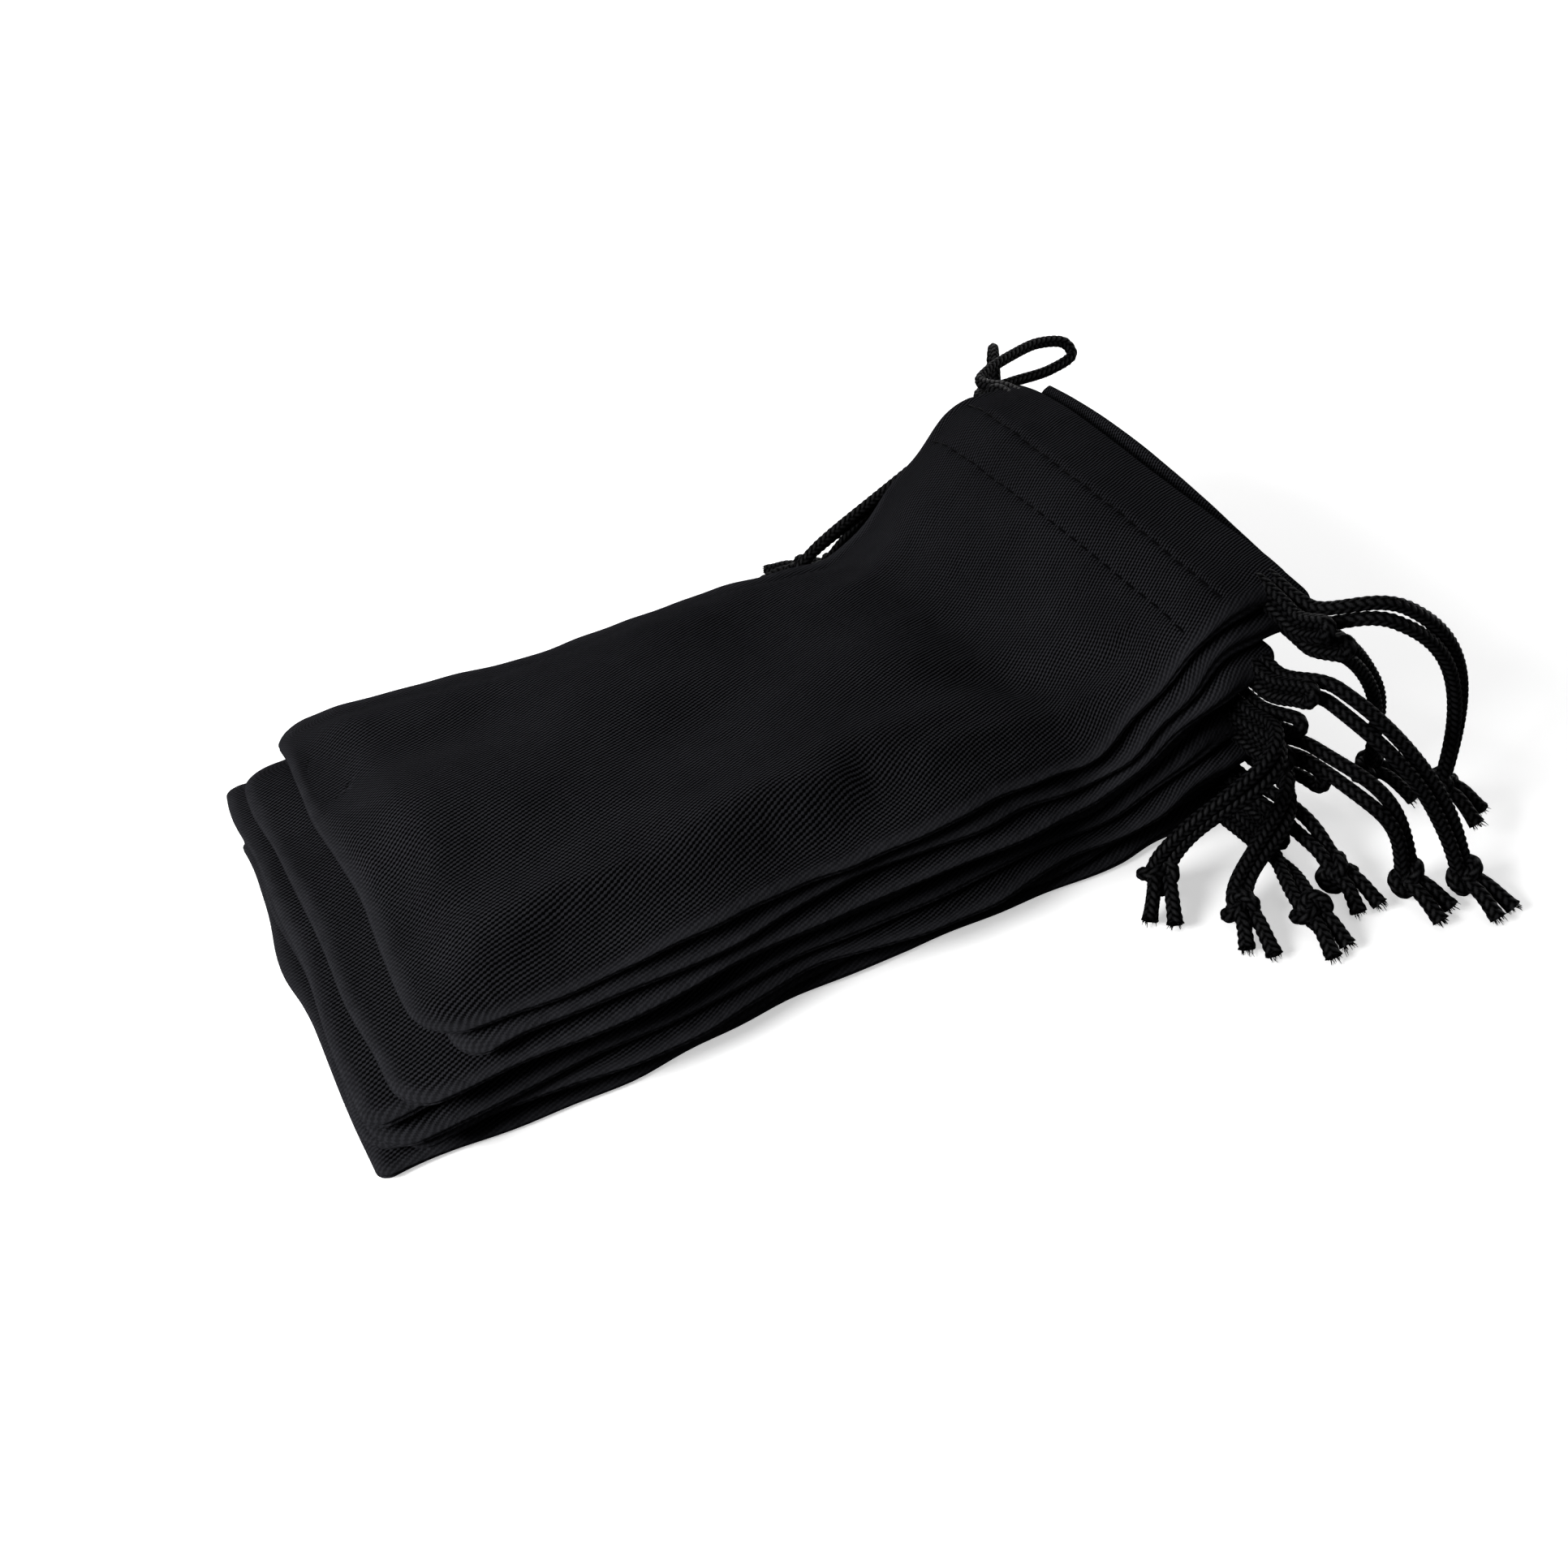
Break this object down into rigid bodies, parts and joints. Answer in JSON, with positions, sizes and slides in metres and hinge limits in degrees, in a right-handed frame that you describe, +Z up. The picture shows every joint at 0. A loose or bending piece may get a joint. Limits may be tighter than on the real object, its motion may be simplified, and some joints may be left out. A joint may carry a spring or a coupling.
{
  "type": "soft pouch glasses case",
  "caption": "Stack of soft microfibre drawstring pouches for spectacles, closed at one end, with a stitched corded hem at the mouth and knotted braided cords.",
  "frame": {"origin": "centre of the bottom pouch's underside, on the table", "axes": "+X from the closed ends to the mouths, +Y across the pouches, +Z up through the stack"},
  "size_m": [0.2161, 0.1843, 0.0527],
  "materials": {
    "fabric": "matt brushed microfibre knit",
    "thread": "satin polyester thread",
    "cord": "satin braided polyester cord"
  },
  "bodies": {
    "pouch_1_back": {"pouch_1_back_panel": "fabric", "pouch_1_seam_stitching": "thread"},
    "pouch_1_front": {"pouch_1_front_panel": "fabric", "pouch_1_hem_stitching": "thread"},
    "pouch_1_near": {"pouch_1_near_cord": "cord"},
    "pouch_1_far": {"pouch_1_far_cord": "cord"},
    "pouch_2_back": {"pouch_2_back_panel": "fabric", "pouch_2_seam_stitching": "thread"},
    "pouch_2_front": {"pouch_2_front_panel": "fabric", "pouch_2_hem_stitching": "thread"},
    "pouch_2_near": {"pouch_2_near_cord": "cord"},
    "pouch_2_far": {"pouch_2_far_cord": "cord"},
    "pouch_3_back": {"pouch_3_back_panel": "fabric", "pouch_3_seam_stitching": "thread"},
    "pouch_3_front": {"pouch_3_front_panel": "fabric", "pouch_3_hem_stitching": "thread"},
    "pouch_3_near": {"pouch_3_near_cord": "cord"},
    "pouch_3_far": {"pouch_3_far_cord": "cord"},
    "pouch_4_back": {"pouch_4_back_panel": "fabric", "pouch_4_seam_stitching": "thread"},
    "pouch_4_front": {"pouch_4_front_panel": "fabric", "pouch_4_hem_stitching": "thread"},
    "pouch_4_near": {"pouch_4_near_cord": "cord"},
    "pouch_4_far": {"pouch_4_far_cord": "cord"},
    "pouch_5_back": {"pouch_5_back_panel": "fabric", "pouch_5_seam_stitching": "thread"},
    "pouch_5_front": {"pouch_5_front_panel": "fabric", "pouch_5_hem_stitching": "thread"},
    "pouch_5_near": {"pouch_5_near_cord": "cord"},
    "pouch_5_far": {"pouch_5_far_cord": "cord"},
    "pouch_6_back": {"pouch_6_back_panel": "fabric", "pouch_6_seam_stitching": "thread"},
    "pouch_6_front": {"pouch_6_front_panel": "fabric", "pouch_6_hem_stitching": "thread"},
    "pouch_6_near": {"pouch_6_near_cord": "cord"},
    "pouch_6_far": {"pouch_6_far_cord": "cord"},
    "pouch_7_back": {"pouch_7_back_panel": "fabric", "pouch_7_seam_stitching": "thread"},
    "pouch_7_front": {"pouch_7_front_panel": "fabric", "pouch_7_hem_stitching": "thread"},
    "pouch_7_near": {"pouch_7_near_cord": "cord"},
    "pouch_7_far": {"pouch_7_far_cord": "cord"},
    "pouch_8_back": {"pouch_8_back_panel": "fabric", "pouch_8_seam_stitching": "thread"},
    "pouch_8_front": {"pouch_8_front_panel": "fabric", "pouch_8_hem_stitching": "thread"},
    "pouch_8_near": {"pouch_8_near_cord": "cord"},
    "pouch_8_far": {"pouch_8_far_cord": "cord"}
  },
  "joints": [
    {"name": "mouth_1", "type": "hinge", "parent": "pouch_1_back", "child": "pouch_1_front", "pos_m": [-0.076, 0.0045, 0.02325], "axis": [0, -1, 0], "range_deg": [0, 6]},
    {"name": "lift_1", "type": "slide", "parent": "pouch_2_front", "child": "pouch_1_back", "axis": [0, 0, 1], "range_m": [0, 0.025]},
    {"name": "near_draw_1", "type": "slide", "parent": "pouch_1_back", "child": "pouch_1_near", "axis": [0, -1, 0], "range_m": [0, 0.01]},
    {"name": "far_draw_1", "type": "slide", "parent": "pouch_1_back", "child": "pouch_1_far", "axis": [0, 1, 0], "range_m": [0, 0.01]},
    {"name": "mouth_2", "type": "hinge", "parent": "pouch_2_back", "child": "pouch_2_front", "pos_m": [-0.0715, 0.003, 0.02025], "axis": [0, -1, 0], "range_deg": [0, 6]},
    {"name": "lift_2", "type": "slide", "parent": "pouch_3_front", "child": "pouch_2_back", "axis": [0, 0, 1], "range_m": [0, 0.025]},
    {"name": "near_draw_2", "type": "slide", "parent": "pouch_2_back", "child": "pouch_2_near", "axis": [0, -1, 0], "range_m": [0, 0.01]},
    {"name": "far_draw_2", "type": "slide", "parent": "pouch_2_back", "child": "pouch_2_far", "axis": [0, 1, 0], "range_m": [0, 0.01]},
    {"name": "mouth_3", "type": "hinge", "parent": "pouch_3_back", "child": "pouch_3_front", "pos_m": [-0.083, 0, 0.01725], "axis": [0, -1, 0], "range_deg": [0, 6]},
    {"name": "lift_3", "type": "slide", "parent": "pouch_4_front", "child": "pouch_3_back", "axis": [0, 0, 1], "range_m": [0, 0.025]},
    {"name": "near_draw_3", "type": "slide", "parent": "pouch_3_back", "child": "pouch_3_near", "axis": [0, -1, 0], "range_m": [0, 0.01]},
    {"name": "far_draw_3", "type": "slide", "parent": "pouch_3_back", "child": "pouch_3_far", "axis": [0, 1, 0], "range_m": [0, 0.01]},
    {"name": "mouth_4", "type": "hinge", "parent": "pouch_4_back", "child": "pouch_4_front", "pos_m": [-0.087, 0.0025, 0.01425], "axis": [0, -1, 0], "range_deg": [0, 6]},
    {"name": "lift_4", "type": "slide", "parent": "pouch_5_front", "child": "pouch_4_back", "axis": [0, 0, 1], "range_m": [0, 0.025]},
    {"name": "near_draw_4", "type": "slide", "parent": "pouch_4_back", "child": "pouch_4_near", "axis": [0, -1, 0], "range_m": [0, 0.01]},
    {"name": "far_draw_4", "type": "slide", "parent": "pouch_4_back", "child": "pouch_4_far", "axis": [0, 1, 0], "range_m": [0, 0.01]},
    {"name": "mouth_5", "type": "hinge", "parent": "pouch_5_back", "child": "pouch_5_front", "pos_m": [-0.086, 0.001, 0.01125], "axis": [0, -1, 0], "range_deg": [0, 6]},
    {"name": "lift_5", "type": "slide", "parent": "pouch_6_front", "child": "pouch_5_back", "axis": [0, 0, 1], "range_m": [0, 0.025]},
    {"name": "near_draw_5", "type": "slide", "parent": "pouch_5_back", "child": "pouch_5_near", "axis": [0, -1, 0], "range_m": [0, 0.01]},
    {"name": "far_draw_5", "type": "slide", "parent": "pouch_5_back", "child": "pouch_5_far", "axis": [0, 1, 0], "range_m": [0, 0.01]},
    {"name": "mouth_6", "type": "hinge", "parent": "pouch_6_back", "child": "pouch_6_front", "pos_m": [-0.082, -0.0015, 0.00825], "axis": [0, -1, 0], "range_deg": [0, 6]},
    {"name": "lift_6", "type": "slide", "parent": "pouch_7_front", "child": "pouch_6_back", "axis": [0, 0, 1], "range_m": [0, 0.025]},
    {"name": "near_draw_6", "type": "slide", "parent": "pouch_6_back", "child": "pouch_6_near", "axis": [0, -1, 0], "range_m": [0, 0.01]},
    {"name": "far_draw_6", "type": "slide", "parent": "pouch_6_back", "child": "pouch_6_far", "axis": [0, 1, 0], "range_m": [0, 0.01]},
    {"name": "mouth_7", "type": "hinge", "parent": "pouch_7_back", "child": "pouch_7_front", "pos_m": [-0.087, 0.001, 0.00525], "axis": [0, -1, 0], "range_deg": [0, 6]},
    {"name": "lift_7", "type": "slide", "parent": "pouch_8_front", "child": "pouch_7_back", "axis": [0, 0, 1], "range_m": [0, 0.025]},
    {"name": "near_draw_7", "type": "slide", "parent": "pouch_7_back", "child": "pouch_7_near", "axis": [0, -1, 0], "range_m": [0, 0.01]},
    {"name": "far_draw_7", "type": "slide", "parent": "pouch_7_back", "child": "pouch_7_far", "axis": [0, 1, 0], "range_m": [0, 0.01]},
    {"name": "mouth_8", "type": "hinge", "parent": "pouch_8_back", "child": "pouch_8_front", "pos_m": [-0.088, 0, 0.00225], "axis": [0, -1, 0], "range_deg": [0, 6]},
    {"name": "near_draw_8", "type": "slide", "parent": "pouch_8_back", "child": "pouch_8_near", "axis": [0, -1, 0], "range_m": [0, 0.01]},
    {"name": "far_draw_8", "type": "slide", "parent": "pouch_8_back", "child": "pouch_8_far", "axis": [0, 1, 0], "range_m": [0, 0.01]}
  ]
}
